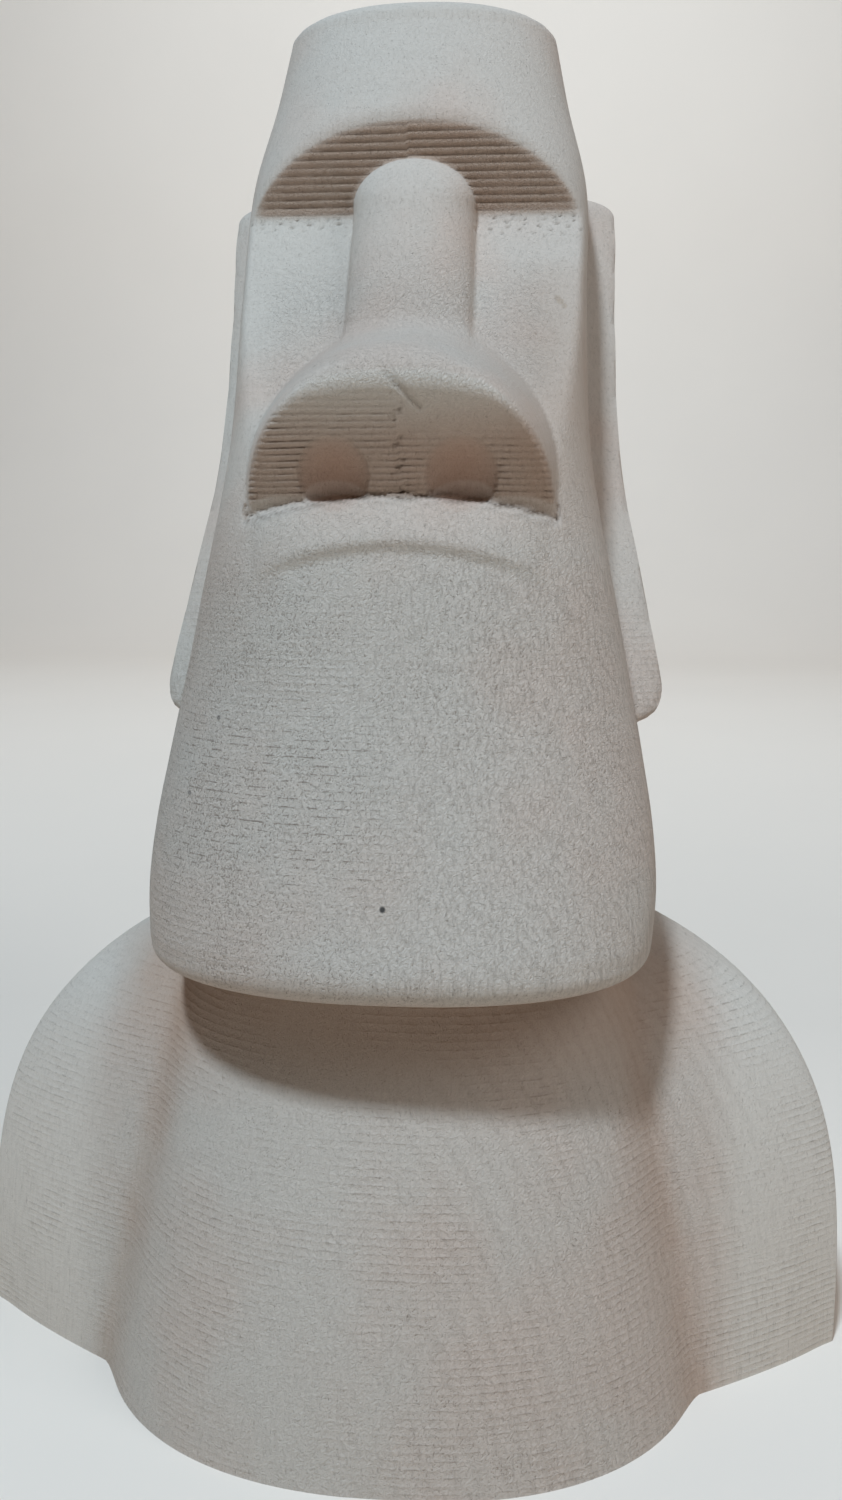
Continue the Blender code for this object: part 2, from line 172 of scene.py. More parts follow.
# Squareness of the rings: 2 is an ellipse, more is boxier
FRONT_SQUARENESS = 2.3
FACE_SQUARENESS = ((0.0, 2.3), (0.30, 2.45), (0.50, 3.3), (0.68, 3.4), (0.78, 2.5), (0.86, 2.25),
                   (1.0, 2.3))
BACK_SQUARENESS = 2.2
ARM_SQUARENESS = 1.2
NOSE_SQUARENESS = 2.9
BRIDGE_SQUARENESS = 2.2
EAR_SQUARENESS = 2.2
LIP_SQUARENESS = 2.0

# How the forms run
ARM_SHARE = 0.845                # reach of the arms at the base, as a share of the chest's
ARM_SHARE_ABOVE = 0.665          # the same at the neck
THROAT_CURVE = 0.37              # share of the chest's run back that comes near its top
CLOSE_IN = 4.2                   # how the shoulders close in on the neck
CLOSE_OUT = 1.25
THROAT_HOLLOW = 3.0              # how soon the throat turns out under the chin
UNDER_FADE = 8.0                 # how steeply the cut under the nose ends beside it
NOSTRIL_BOWL = 0.6               # roundness of the nostrils' floor

# Rows and columns of the fine surface
MIDDLE_COLUMNS = 72              # from the middle of the front out to EVEN_SHARE
EVEN_SHARE = 0.90
EDGE_COLUMNS = 13                # from there round to the widest line
SIDE_COLUMNS = 34
REAR_COLUMNS = 12
SIDE_TURN = math.radians(42)
TORSO_ROWS = 46
THROAT_ROWS = 10
JAW_ROWS = 12
CROWN_ROWS = 10
# Height on the head in millimetres, then the number of rows up to it
HEAD_ROWS = ((65.68, 0), (105.0, 44), (118.0, 26), (133.0, 80), (143.0, 20), (156.0, 32),
             (173.25, 75), (185.6, 20))
CHIN_SHARE = 0.04                # share of the head's length at which its rows start in front

# Marks of the cutter
SEAM_BELOW = 0.5 * MM            # the seam down the face, where the passes meet, at the nose
SEAM_ABOVE = -0.9 * MM           # and at the brow
BAND_END = 23.5 * MM             # half width of the marks under the brow
BROW_LEVEL = 156.0 * MM          # a groove lies at this level
NOSE_LEVEL = 118.0 * MM
SEAM_WANDER = 0.4 * MM           # how far the seam strays to either side
SEAM_EDGE = 0.15 * MM
PASS_SHIFT = 0.25                # share of a step by which the passes right of the seam are off
NOSE_FADE = 9.0 * MM             # length below the tip over which the marks come in fully
CHIP_SPREAD = 0.9 * MM           # how far the chips reach from the seam
LIP_FRAY = 0.8 * MM              # half height of the torn edge over the lips
LIP_FRAY_PLACE = 0.2 * MM        # its middle below the lips' top
CREASE_FRAY = 0.7 * MM
CREASE_FRAY_PLACE = 0.3 * MM     # its middle above the crease
BROW_FRAY = (1.2 * MM, 2.8 * MM) # torn fibres below the brow start to thin out, and end
BROW_FRAY_SPREAD = 1.8           # how much farther they reach on the right
BROW_FRAY_END = 23.0 * MM
SCRATCH_WIDTH = 0.28 * MM
SCRATCH_START = (-1.1 * MM, 134.6 * MM)
SCRATCH_END = (3.1 * MM, 130.6 * MM)
GROOVE_PLACE = 1.2 * MM          # middle of the painted shade in the arm's groove, inside the chest's edge
GROOVE_INSIDE = 3.4 * MM         # how far it fades over the chest
GROOVE_OUTSIDE = 2.0 * MM        # and over the arm

# Small marks on the front: middle, size, colour and strength
SPOTS = (((-0.0003, 0.0, 0.0725), 0.0005, (0.02, 0.02, 0.02), 0.9),
         ((0.0197, 0.0, 0.1468), 0.0006, (0.30, 0.20, 0.12), 0.45),
         ((0.0201, 0.0, 0.1463), 0.0006, (0.30, 0.20, 0.12), 0.45),
         ((0.0206, 0.0, 0.1457), 0.0005, (0.30, 0.20, 0.12), 0.40),
         ((0.0090, 0.0, 0.1865), 0.0026, (0.30, 0.30, 0.20), 0.30),
         ((0.0248, 0.0, 0.1314), 0.0005, (0.10, 0.07, 0.05), 0.6),
         ((0.0252, 0.0, 0.1296), 0.0004, (0.10, 0.07, 0.05), 0.6),
         ((0.0372, 0.0, 0.0855), 0.0030, (0.25, 0.13, 0.07), 0.7),
         ((-0.0262, 0.0, 0.0835), 0.0004, (0.08, 0.07, 0.06), 0.6),
         ((-0.0225, 0.0, 0.0930), 0.0004, (0.08, 0.07, 0.06), 0.6))

# Cells of the noise for each metre, across, in depth and along the fibres
SWAY_CELLS = (90.0, 90.0, 260.0)
BREAK_CELLS = (700.0, 700.0, 1500.0)
BEND_CELLS = (22.0, 22.0, 9.0)
FIBRE_CELLS = (2600.0, 2600.0, 160.0)
PORE_CELLS = (5200.0, 5200.0, 700.0)
CURL_CELLS = (1500.0, 1500.0, 1500.0)
FUZZ_CELLS = (3600.0, 3600.0, 2600.0)
CURL = 0.0008                    # reach of the curls, in metres
HEART_PLACE = (-0.075, -0.105, 0.0)
HEART_LEAN = (0.34, -0.16)       # drift of the growth rings' middle for each unit up

# Where each tone of the wood, and the painted shadow of the chin, lies: a side of the region is an
# axis, then the two places in millimetres at which it starts to show and shows fully. Aside is the
# distance from the middle.
REGIONS = {
    "front": (("y", 12, -4),),
    "chin": (("y", 12, -4), ("z", 58, 63), ("z", 128, 108)),
    "left": (("x", 12, -22),),
    "right": (("x", -10, 8),),
    "warm side": (("x", -30, 50),),
    "low": (("z", 54, 40),),
    "chest": (("aside", 48, 36),),
    "ball": (("z", 130, 137), ("z", 156, 146), ("aside", 22, 16)),
    "lower": (("z", 132, 108),),
    "arms": (("aside", 41, 49), ("z", 68, 60)),
    "rings": (("x", -5, 12), ("z", 66, 50)),
    "ring end": (("x", 54, 42),),
    "levels": (("z", 118, 98),),
    "dashes": (("y", 12, -4), ("x", -34, -26), ("x", 6, -4), ("z", 70, 77), ("z", 100, 90)),
    # the shadow that the chin casts on the chest, painted brown
    "under": (("y", 12, -4), ("z", 40, 54), ("z", 62.5, 60), ("aside", 46, 36)),
    "cheek": (("y", 12, -4), ("x", 10, 19), ("z", 112, 124), ("z", 154, 150)),
}

# Camera, as it stands to the bust
CAMERA_PLACE = (0.01413, -0.16087, 0.11574)
CAMERA_YAW = 4.41                # degrees
CAMERA_PITCH = 10.57
CAMERA_ROLL = 0.136
CAMERA_LENS = 27.6               # millimetres on a sensor 36 wide

# Studio
SWEEP_REACH = 3.0
SWEEP_BACK = 1.4
SWEEP_BEND = 0.5
SWEEP_HEIGHT = 2.6
KEY_PLACE = (-0.2025, -0.503, 1.083)
KEY_SIZE = 0.105
KEY_COLOUR = (0.62, 0.81, 1.0)
FILL_PLACE = (-0.1, -1.1, 0.45)
FILL_SIZE = 0.9
FILL_COLOUR = (1.0, 0.68, 0.48)
SIDE_PLACE = (0.50, -0.25, 0.55)
SIDE_SIZE = 0.35
SIDE_COLOUR = (0.80, 0.90, 1.0)
WALL_PLACE = (0.0, 0.25, 1.1)
WALL_SIZE = 1.0
WALL_COLOUR = (0.74, 0.87, 1.0)
WALL_TARGET = (0.0, 1.4, 0.95)
ROOM_COLOUR = (1.0, 0.62, 0.42, 1.0)


def mix(a, b, share):
    """Straight blend from a to b."""
    return a + (b - a) * share


def smooth_step(start, end, value):
    """0 before start, 1 after end, an S curve between."""
    share = np.clip((value - start) / (end - start), 0.0, 1.0)
    return share * share * (3.0 - 2.0 * share)


def soft_max(a, b, radius):
    """The larger of a and b, with the crease between them filleted over the radius."""
    share = np.clip(1.0 - np.abs(a - b) / radius, 0.0, 1.0)
    return np.maximum(a, b) + 0.25 * radius * share * share


def soft_min(a, b, radius):
    return -soft_max(-a, -b, radius)


def curve(points, share):
    """Smooth curve through the points (share, value), flat beyond its ends."""
    at, value = np.array(points, dtype=float).T
    slope = np.gradient(value, at)
    share = np.clip(share, at[0], at[-1])
    left = np.clip(np.searchsorted(at, share, side="right") - 1, 0, len(at) - 2)
    width = at[left + 1] - at[left]
    u = (share - at[left]) / width
    return (value[left] * (1 + 2 * u) * (1 - u) ** 2 + value[left + 1] * u * u * (3 - 2 * u)
            + slope[left] * width * u * (1 - u) ** 2 - slope[left + 1] * width * u * u * (1 - u))


def arch(share, squareness):
    """Height of a superellipse over its middle line: 1 in the middle, 0 at its ends."""
    return (1.0 - np.clip(np.abs(share), 0.0, 1.0) ** squareness) ** (1.0 / squareness)


def by_facing(angle, front, side, back):
    """A value that passes from the front of a ring over its sides to its back."""
    facing = np.sin(angle)
    ahead = np.clip(-facing, 0.0, 1.0) ** 2
    behind = np.clip(facing, 0.0, 1.0) ** 2
    return side + (front - side) * ahead + (back - side) * behind


def ring_angles():
    """Angles of the columns round a ring, as one row: 0 at +X, a quarter turn back in front.

    The columns stand evenly across the face, then evenly in angle round its edge.
    """
    quarter = math.pi / 2
    even = np.linspace(0.0, EVEN_SHARE, MIDDLE_COLUMNS + 1)
    ahead = -np.arccos(even ** (FRONT_SQUARENESS / 2))
    edge = np.linspace(ahead[-1], 0.0, EDGE_COLUMNS + 1)[1:]
    beside = np.linspace(0.0, SIDE_TURN, SIDE_COLUMNS + 1)[1:]
    behind = np.linspace(SIDE_TURN, quarter, REAR_COLUMNS + 1)[1:]
    right = np.concatenate((ahead, edge, beside, behind))
    return np.concatenate((right, math.pi - right[-2:0:-1]))[None, :]


def across(angle):
    """Share of a ring's half width at each angle."""
    turn = np.cos(angle)
    return np.sign(turn) * np.abs(turn) ** (2.0 / FRONT_SQUARENESS)


def head_height(share):
    return mix(CHIN_HEIGHT, HEIGHT, share)


def head_share(z):
    return (z - CHIN_HEIGHT) / (HEIGHT - CHIN_HEIGHT)


def face_line(z):
    """Front of the plain block of the head, on its middle line."""
    return -CHIN_REACH + curve(FACE_LINE, head_share(z)) * (HEIGHT - CHIN_HEIGHT)


def widest_line(z):
    return -JAW_SETBACK + HEAD_LEAN * (z - CHIN_HEIGHT)


def back_line(z):
    return HEAD_BACK_REACH + curve(BACK_LINE, head_share(z)) * (HEIGHT - CHIN_HEIGHT)


def chin_corner():
    """Depth of the centre of the chin's rounded edge, and the angle over which it is round."""
    slope = FACE_LINE[1][1] / FACE_LINE[1][0]
    centre = face_line(CHIN_HEIGHT + CHIN_ROUNDING) + CHIN_ROUNDING * math.hypot(1.0, slope)
    return centre, math.pi / 2 + math.atan(slope)


def torso_ring(angle, share):
    """Torso: chest and arms in front, one plain curve behind, closing in on the neck."""
    z = share * by_facing(angle, THROAT_HEIGHT, NECK_SIDE_HEIGHT, NAPE_HEIGHT)
    closing = (1.0 - share ** CLOSE_IN) ** (1.0 / CLOSE_OUT)
    half_width = mix(NECK_WIDTH / 2, SHOULDER_WIDTH / 2, closing)
    x = half_width * across(angle)
    reach = mix(CHEST_REACH, THROAT_REACH, mix(share, share ** 2, THROAT_CURVE))
    chest = reach * arch(x / mix(CHEST_WIDTH / 2, NECK_WIDTH / 2, share), FRONT_SQUARENESS)
    arms = reach * mix(ARM_SHARE, ARM_SHARE_ABOVE, share) * arch(x / half_width, ARM_SQUARENESS)
    widest = ARM_LEAN * share ** 2
    hollow = widest * (1.0 - arch(x / half_width, FRONT_SQUARENESS))
    front = hollow - soft_max(chest, arms, CHEST_FILLET)
    behind = mix(BACK_REACH, NAPE_REACH, share ** 2) - widest
    back = widest + behind * arch(x / half_width, BACK_SQUARENESS)
    return x, np.where(np.sin(angle) < 0.0, front, back), z


def throat_ring(angle, share):
    """From the crease of the neck out under the chin."""
    half_width = mix(NECK_WIDTH / 2, JAW_WIDTH / 2 - JAW_ROUNDING, share)
    x = half_width * across(angle)
    widest = mix(ARM_LEAN, widest_line(CHIN_HEIGHT), share)
    centre, _ = chin_corner()
    reach = mix(THROAT_REACH, -centre, share)
    front = widest - (reach + widest) * arch(x / half_width, FRONT_SQUARENESS)
    nape = mix(NAPE_REACH, HEAD_BACK_REACH, share)
    back = widest + (nape - widest) * arch(x / half_width, BACK_SQUARENESS)
    rise = 1.0 - (1.0 - share) ** THROAT_HOLLOW
    z = by_facing(angle, mix(THROAT_HEIGHT, CHIN_HEIGHT, rise),
                  NECK_SIDE_HEIGHT + THROAT_LIFT * share, NAPE_HEIGHT + NAPE_LIFT * share)
    return x, np.where(np.sin(angle) < 0.0, front, back), z


def plain_head(angle, z):
    """Plain block of the head at the heights z, one for each point of a ring."""
    half_width = JAW_WIDTH / 2 * curve(HEAD_WIDTHS, head_share(z))
    x = half_width * across(angle)
    widest = widest_line(z)
    squareness = curve(FACE_SQUARENESS, head_share(z))
    front = widest - (widest - face_line(z)) * arch(x / half_width, squareness)
    back = widest + (back_line(z) - widest) * arch(x / half_width, BACK_SQUARENESS)
    return x, np.where(np.sin(angle) < 0.0, front, back), z


def jaw_corner(angle, share):
    """The rounded edge between the underside of the chin and the face."""
    centre, sweep = chin_corner()
    turn = share * sweep
    chin = centre - CHIN_ROUNDING * np.sin(turn)
    side_turn = share * math.pi / 2
    side = NECK_SIDE_HEIGHT + THROAT_LIFT + JAW_ROUNDING * (1.0 - np.cos(side_turn))
    nape = NAPE_HEIGHT + mix(NAPE_LIFT, NAPE_TURN, share)
    z = by_facing(angle, CHIN_HEIGHT + CHIN_ROUNDING * (1.0 - np.cos(turn)), side, nape)
    full = JAW_WIDTH / 2 * curve(HEAD_WIDTHS, head_share(z))
    half_width = full - JAW_ROUNDING * (1.0 - np.sin(side_turn))
    x = half_width * across(angle)
    widest = widest_line(z)
    front = widest - (widest - chin) * arch(x / half_width, FRONT_SQUARENESS)
    back = widest + (back_line(z) - widest) * arch(x / half_width, BACK_SQUARENESS)
    return x, np.where(np.sin(angle) < 0.0, front, back), z


def head_start(angle):
    """Heights at which the rounded edge of the jaw ends, round the ring."""
    _, _, z = jaw_corner(angle, 1.0)
    return z


def carved_face(x, plain, z):
    """Depth of the carved face behind the points (x, z), from the plain block's depth there."""
    fold = head_height(BROW_FOLD)
    foot = head_height(EYE_FOOT)
    floor = face_line(fold) + EYE_DEPTH
    eye = floor + (floor - face_line(foot)) / (fold - foot) * (z - fold)
    band = floor - math.tan(math.radians(BROW_SLANT)) * (z - fold)
    socket = soft_min(eye, band, FOLD_FILLET)
    cheek = soft_max(plain, socket, BROW_FILLET)
    marks = {"band": smooth_step(0.1 * MM, 1.0 * MM, socket - plain)}
    marks["band"] = marks["band"] * smooth_step(fold - 0.4 * MM, fold + 0.6 * MM, z)

    tip_level = head_height(NOSE_TIP_LEVEL)
    tip = -CHIN_REACH + NOSE_TIP
    top = head_height(BRIDGE_TOP)
    low = head_height(BRIDGE_FOOT)
    rise = floor - math.tan(math.radians(BROW_SLANT)) * (top - fold) - BRIDGE_HEAD_STAND
    dip = floor + (floor - face_line(foot)) / (fold - foot) * (low - fold) - BRIDGE_FOOT_STAND
    ridge = dip + (rise - dip) / (top - low) * (z - low)
    above = np.clip(z - (top - BRIDGE_ROUNDING), 0.0, None) / BRIDGE_ROUNDING
    aside = np.hypot(x / (BRIDGE_WIDTH / 2), above)
    off_bridge = np.clip(aside - 1.0, 0.0, None) * BRIDGE_WIDTH / 2
    bridge = socket - (socket - ridge) * arch(aside, BRIDGE_SQUARENESS) + off_bridge

    half_nose = NOSE_WIDTH / 2
    up = np.clip(z - head_height(NOSE_CENTRE), 0.0, None)
    out = np.hypot(x, up) / half_nose
    off_ball = np.clip(out - 1.0, 0.0, None) * half_nose
    wall = (1.0 - out) * half_nose / math.tan(math.radians(NOSE_DRAFT))
    ball = cheek - soft_min(NOSE_STAND * arch(out, NOSE_SQUARENESS), wall, NOSE_WALL_FILLET)
    nose = soft_min(cheek, soft_min(bridge, ball, BRIDGE_FILLET), NOSE_FILLET)
    under = tip + math.tan(math.radians(UNDER_SLANT)) * (tip_level - z)
    under = under + NOSE_BOW * (x / half_nose) ** 2 - UNDER_FADE * off_ball
    free = nose
    nose = soft_max(nose, under, TIP_FILLET)
    marks["under"] = smooth_step(-0.5 * MM, 1.0 * MM, under - free)
    marks["nostril"] = 0.0 * z
    for side in (-1.0, 1.0):
        away = np.hypot(x - side * NOSTRIL_SPACING / 2, z - head_height(NOSTRIL_LEVEL))
        bowl = np.clip(1.0 - (away / (NOSTRIL_WIDTH / 2)) ** 2, 0.0, None) ** NOSTRIL_BOWL
        nose = nose + NOSTRIL_DEPTH * bowl
        marks["nostril"] = np.maximum(marks["nostril"], bowl)

    lip_top = head_height(LIP_TOP) - LIP_TOP_DROP * (x / half_nose) ** 2
    crease = head_height(MOUTH_CREASE) - CREASE_DROP * (x / (LIP_WIDTH / 2)) ** 2
    lips = smooth_step(crease - CREASE_UNDER, crease + CREASE_OVER, z)
    lips = lips * (1.0 - smooth_step(lip_top, lip_top + LIP_TOP_FADE, z))
    mouth = cheek - LIP_STAND * lips * arch(x / (LIP_WIDTH / 2), LIP_SQUARENESS)
    above_lips = smooth_step(lip_top - NOSE_FOOT_UNDER, lip_top + NOSE_FOOT_OVER, z)
    marks["band"] = marks["band"] * (1.0 - smooth_step(0.2 * MM, 0.9 * MM, cheek - nose))
    marks["under"] = marks["under"] * above_lips * smooth_step(0.0, 0.6 * MM, cheek - nose)
    marks["lip_line"] = z - lip_top
    marks["crease_line"] = z - crease
    return mix(mouth, nose, above_lips), marks


def ear_shift(y, z):
    """How far the side of the head is pushed out, or in, to leave the ear standing."""
    front = widest_line(z) + EAR_SETBACK
    back = front + EAR_WIDTH
    foot = head_height(EAR_FOOT)
    top = head_height(EAR_TOP)
    along = arch(np.clip((z - foot) / EAR_LOBE, 0.0, 1.0) - 1.0, EAR_SQUARENESS)
    along = along * arch(np.clip((z - top) / EAR_SHOULDER, -1.0, 0.0) + 1.0, EAR_SQUARENESS)
    over = smooth_step(front - EAR_FRONT_EDGE / 2, front + EAR_FRONT_EDGE / 2, y)
    over = over * (1.0 - smooth_step(back - EAR_BACK_EDGE / 2, back + EAR_BACK_EDGE / 2, y))
    groove = np.exp(-((y - front + EAR_GROOVE_PLACE) / EAR_GROOVE_WIDTH) ** 2)
    return (EAR_STAND * over - EAR_GROOVE * groove) * along


def head_block(angle, share):
    """The head with its smooth face and ears, and where on it the cutter left its marks."""
    first = CHIN_SHARE
    last = head_share(HEIGHT - CROWN_DOME)
    start = head_start(angle)
    settle = (1.0 - (share - first) / (last - first)) ** 2
    z = head_height(share) + (start - head_height(first)) * settle
    x, y, z = plain_head(angle, z)
    carved, marks = carved_face(x, y, z)
    front = np.sin(angle) < 0.0
    marks = {name: np.where(front, mark, 0.0) for name, mark in marks.items()}
    return x + np.sign(x) * ear_shift(y, z), np.where(front, carved, y), z, marks


def crown_ring(angle, share):
    """The rounded top, as the head's last ring drawn in and raised."""
    x, y, z, _ = head_block(angle, head_share(HEIGHT - CROWN_DOME))
    middle = (y.min() + y.max()) / 2
    draw = np.cos(share * math.pi / 2) ** (2.0 / FRONT_SQUARENESS)
    lift = np.sin(share * math.pi / 2) ** (2.0 / FRONT_SQUARENESS)
    return x * draw, middle + (y - middle) * draw, z + CROWN_DOME * lift


def cusp(steps):
    """Profile left by a round cutter: 1 at the whole numbers, where two passes meet, 0 between."""
    return (2.0 * (steps - np.floor(steps)) - 1.0) ** 2


def waver(x, z, length, seed):
    """Smooth irregular value from about -1 to 1: five seeded sines of mixed direction."""
    chance = np.random.default_rng(seed)
    total = 0.0
    sizes = (1.0, 1.6, 2.3, 3.1, 4.2)
    for turn, phase, size in zip(chance.uniform(0, math.pi, 5), chance.uniform(0, 6.3, 5), sizes):
        along = x * math.cos(turn) + z * math.sin(turn)
        total = total + np.sin(along * 2 * math.pi * size / length + phase) / size ** 0.5
    return total / 3.0


def per_pass(number, seed):
    """A chance value from 0 to 1 for each pass of the cutter, the same along the pass."""
    wave = np.sin(number * 12.9898 + seed * 78.233) * 43758.5453
    return wave - np.floor(wave)


def off_line(x, z, start, end):
    """Distance in the face's own plane from the straight line between two points (x, z)."""
    run, rise = end[0] - start[0], end[1] - start[1]
    along = ((x - start[0]) * run + (z - start[1]) * rise) / (run ** 2 + rise ** 2)
    share = np.clip(along, 0.0, 1.0)
    return np.hypot(x - start[0] - share * run, z - start[1] - share * rise)


def milled_face(x, depth, z, marks, carving):
    """Depth of the face with the cutter's steps and torn fibres, and how strongly each shows.

    Steps are level passes that meet in a narrow groove: the groove's depth is the fourth power of
    the place between two passes. They shift a little at the seam, where the cutter turned back.
    """
    seam = mix(SEAM_BELOW, SEAM_ABOVE, smooth_step(NOSE_LEVEL, BROW_LEVEL, z))
    seam = seam + SEAM_WANDER * waver(z, z, 9.0 * MM, 3)
    right = smooth_step(-SEAM_EDGE, SEAM_EDGE, x - seam)

    level = (z - BROW_LEVEL) / carving.brow_pitch + 0.05 * waver(x, z, 11.0 * MM, 11) - PASS_SHIFT * right
    strength = 0.75 + 0.4 * per_pass(np.floor(level + 0.5), 1) + 0.15 * waver(x, z, 6.0 * MM, 12)
    band = marks["band"] * smooth_step(BAND_END, BAND_END - 3 * MM, np.abs(x))
    brow = band * strength * cusp(level) ** 2

    level = (z - NOSE_LEVEL) / carving.nose_pitch + 0.07 * waver(x, z, 8.0 * MM, 13) - PASS_SHIFT * right
    below_tip = head_height(NOSE_TIP_LEVEL) - z
    reach = smooth_step(0.5 * MM + 4 * MM * right, 5 * MM + 5 * MM * right, below_tip)
    deep = smooth_step(0.0, NOSE_FADE, below_tip)
    strength = 0.6 + 0.6 * per_pass(np.floor(level + 0.5), 2) + 0.2 * waver(x, z, 5.0 * MM, 14)
    nose = marks["under"] * strength * reach * cusp(level) ** 2 * mix(0.4, 1.0, deep)
    nose = nose * (1.0 - 0.85 * smooth_step(0.1, 0.5, marks["nostril"]))

    chips = smooth_step(0.35, 0.9, waver(x, z, 2.6 * MM, 15)) * np.exp(-((x - seam) / CHIP_SPREAD) ** 2)
    chips = chips * np.clip(marks["under"], 0.0, 1.0) * smooth_step(0.0, 3 * MM, below_tip)

    fray = 0.5 + 0.5 * waver(x, z, 1.6 * MM, 16)
    edge = np.exp(-((marks["lip_line"] + LIP_FRAY_PLACE) / LIP_FRAY) ** 2) * (np.abs(x) < NOSE_WIDTH / 2)
    crease = np.exp(-((marks["crease_line"] - CREASE_FRAY_PLACE) / CREASE_FRAY) ** 2)
    crease = crease * smooth_step(LIP_WIDTH / 2 + 2 * MM, LIP_WIDTH / 2 - 3 * MM, np.abs(x))
    torn = edge * smooth_step(0.35, 0.8, fray) + 0.15 * crease * smooth_step(0.5, 0.9, fray)
    torn = np.clip(torn, 0.0, 1.0)

    below = head_height(BROW_FOLD) - z
    spread = mix(1.0, BROW_FRAY_SPREAD, right)
    ragged = smooth_step(-0.2 * MM, 0.5 * MM, below) * (1.0 - smooth_step(*BROW_FRAY, below / spread))
    ragged = ragged * smooth_step(BRIDGE_WIDTH / 2, BRIDGE_WIDTH / 2 + 2 * MM, np.abs(x))
    ragged = ragged * smooth_step(0.35, 0.8, waver(x, z, 1.9 * MM, 17)) * (np.abs(x) < BROW_FRAY_END)
    scratch = np.exp(-(off_line(x, z, SCRATCH_START, SCRATCH_END) / SCRATCH_WIDTH) ** 2)
    torn = np.clip(torn + 0.75 * ragged, 0.0, 1.0)

    cut = carving.brow_groove * brow + carving.nose_groove * nose
    cut = cut + carving.chip_depth * (chips + torn + 0.6 * scratch)
    shows = {"torn": np.clip(torn + chips + 0.35 * scratch, 0.0, 1.0),
             # where shade is painted dark along the grooves between the passes
             "step": np.clip(brow + nose, 0.0, 1.0),
             # where brown shade is painted under the brow and the nose; fibres are raised there too
             "milled": np.clip(band + marks["under"] * deep * 0.8, 0.0, 1.0),
             # where light is painted just below the nose's tip and along the mouth crease; fibres are
             # raised there too
             "tip": np.clip(marks["under"] * (1.0 - deep) + 0.6 * crease, 0.0, 1.0),
             # where reddish shade is painted in the nostrils
             "hollow": marks["nostril"]}
    return depth + cut, shows


def arm_groove(angle, share):
    """How near a point of the torso is to the groove where the chest meets an arm, from 0 to 1; shade is
    painted there.
    """
    x, _, _ = torso_ring(angle, share)
    closing = (1.0 - share ** CLOSE_IN) ** (1.0 / CLOSE_OUT)
    half_width = mix(NECK_WIDTH / 2, SHOULDER_WIDTH / 2, closing)
    edge = mix(CHEST_WIDTH / 2, NECK_WIDTH / 2, share)
    out = np.abs(x) - edge + GROOVE_PLACE
    near = np.exp(-(np.where(out < 0.0, out / GROOVE_INSIDE, out / GROOVE_OUTSIDE)) ** 2)
    return near * smooth_step(0.0, 0.1, 1.0 - np.abs(x) / half_width) * (np.sin(angle) < 0.0)


def bust_points(carving):
    """Grid of points over the whole bust, rows by columns, and the marks on the face.

    The first parameter climbs from the base to the crown, the second runs round each ring.
    """
    angle = ring_angles()
    torso = torso_ring(angle, np.linspace(0.0, 1.0, TORSO_ROWS)[:, None])
    throat = throat_ring(angle, np.linspace(0.0, 1.0, THROAT_ROWS + 1)[1:, None])
    jaw = jaw_corner(angle, np.linspace(0.0, 1.0, JAW_ROWS + 1)[1:, None])
    steps = zip(HEAD_ROWS, HEAD_ROWS[1:])
    heights = [np.linspace(low, high, count + 1)[1:] for (low, _), (high, count) in steps]
    x, y, z, marks = head_block(angle, head_share(np.concatenate(heights) * MM)[:, None])
    face, shows = milled_face(x, y, z, marks, carving)
    head = (x, np.where(np.sin(angle) < 0.0, face, y), z)
    crown = crown_ring(angle, np.linspace(0.0, 1.0, CROWN_ROWS + 1)[1:-1, None])
    below = [np.stack(np.broadcast_arrays(*part), axis=2) for part in (torso, throat, jaw)]
    rows = np.concatenate(below + [np.stack(part, axis=2) for part in (head, crown)])
    before = sum(len(part) for part in below)
    masks = {}
    for name, mark in shows.items():
        masks[name] = np.zeros(rows.shape[:2])
        masks[name][before:before + len(z)] = mark * (np.sin(angle) < 0.0)
    masks["groove"] = np.zeros(rows.shape[:2])
    masks["groove"][:TORSO_ROWS] = arm_groove(angle, np.linspace(0.0, 1.0, TORSO_ROWS)[:, None])
    rows[:, :, 1] -= (rows[:, :, 1].min() + rows[:, :, 1].max()) / 2
    return rows, masks


def bust_mesh(carving):
    """Skin the grid of points, with a flat base and a closed crown."""
    rows, masks = bust_points(carving)
    count, around = rows.shape[:2]
    crown = rows[-1].mean(axis=0)
    crown[0] = 0.0
    crown[2] = HEIGHT
    points = np.clip(np.vstack((rows.reshape(-1, 3), crown)), np.array(CAD_LOW), np.array(CAD_HIGH))
    here = np.arange(count * around).reshape(count, around)
    beside = np.roll(here, -1, axis=1)
    skin = np.stack((here[:-1], beside[:-1], beside[1:], here[1:]), axis=2).reshape(-1, 4)
    top = np.stack((here[-1], beside[-1], np.full(around, count * around)), axis=1)
    faces = [here[0, ::-1].tolist()] + skin.tolist() + top.tolist()
    mesh = bpy.data.meshes.new("moai_wood")
    mesh.from_pydata(points.tolist(), [], faces)
    for name, mask in masks.items():
        layer = mesh.attributes.new(name, "FLOAT", "POINT")
        layer.data.foreach_set("value", np.append(mask.ravel(), 0.0).astype(np.float32))
    mesh.shade_smooth()
    mesh.set_sharp_from_angle(angle=math.radians(60))
    mesh.validate()
    return mesh


